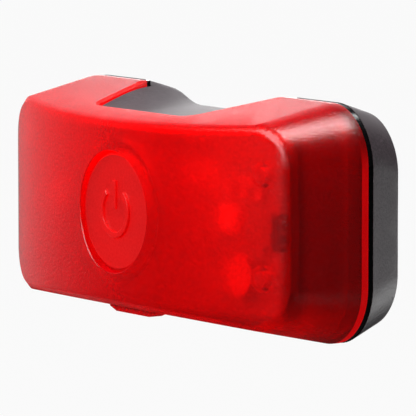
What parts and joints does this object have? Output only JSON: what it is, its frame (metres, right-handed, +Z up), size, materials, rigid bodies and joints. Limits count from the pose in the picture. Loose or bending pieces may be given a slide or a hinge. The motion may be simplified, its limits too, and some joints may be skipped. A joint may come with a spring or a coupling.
{
  "type": "helmet rear light",
  "caption": "Small rounded rear safety light with a bowed translucent red lens, a round push button, a dark base with a scooped top and a clip for a helmet strap.",
  "frame": {"origin": "middle of the clip's throat, between the base's back face and the clip's tongue", "axes": "+X to the right seen from the front of the light, -Y out of the lens, +Z up; the clip slides on along Z"},
  "size_m": [0.057, 0.0227, 0.025],
  "materials": {
    "lens_plastic": "translucent red polycarbonate, fine satin texture",
    "base_plastic": "dark grey moulded plastic, fine texture",
    "seal_rubber": "smooth black seal rubber",
    "seal_silicone": "soft translucent silicone",
    "screw_steel": "zinc-plated steel",
    "cell_steel": "nickel-plated steel, bright",
    "insulator": "moulded sealing ring",
    "contact_metal": "nickel-plated spring strip",
    "board": "white solder mask on glass-fibre board",
    "component_black": "moulded black epoxy",
    "led_package": "white package",
    "led_dome": "clear silicone dome",
    "resistor_ceramic": "white alumina with tinned ends",
    "ferrite": "grey ferrite drum with enamelled copper winding",
    "capacitor_ceramic": "tan ceramic with tinned ends"
  },
  "bodies": {
    "base": {"base_housing": "base_plastic", "lens_gasket": "seal_rubber", "helmet_clip": "base_plastic", "clip_screws": "screw_steel", "cell_can": "cell_steel", "cell_cap": "cell_steel", "cell_seal": "insulator", "cell_strip": "contact_metal"},
    "lens_unit": {"front_lens": "lens_plastic", "button_seal": "seal_silicone", "circuit_board": "board", "board_screws": "screw_steel", "switch_body": "component_black", "switch_frame": "contact_metal", "led_left": "led_package", "led_right": "led_package", "led_dome_left": "led_dome", "led_dome_right": "led_dome", "driver_chip": "component_black", "resistors": "resistor_ceramic", "capacitors": "capacitor_ceramic", "inductor": "ferrite", "contact_negative": "contact_metal", "contact_positive": "contact_metal"},
    "mode_button": {"mode_button": "lens_plastic"},
    "switch_plunger": {"switch_plunger": "component_black"}
  },
  "joints": [
    {"name": "lens_release", "type": "slide", "parent": "base", "child": "lens_unit", "axis": [0, -1, 0], "range_m": [0, 0.016]},
    {"name": "mode_button_press", "type": "slide", "parent": "lens_unit", "child": "mode_button", "axis": [0, 1, 0], "range_m": [0, 0.0003], "stiffness_N_per_m": 1500},
    {"name": "switch_plunger_press", "type": "slide", "parent": "lens_unit", "child": "switch_plunger", "axis": [0, 1, 0], "range_m": [0, 0.0003]}
  ],
  "couplings": [
    {"joint": "switch_plunger_press", "follows": "mode_button_press", "ratio": 1}
  ]
}
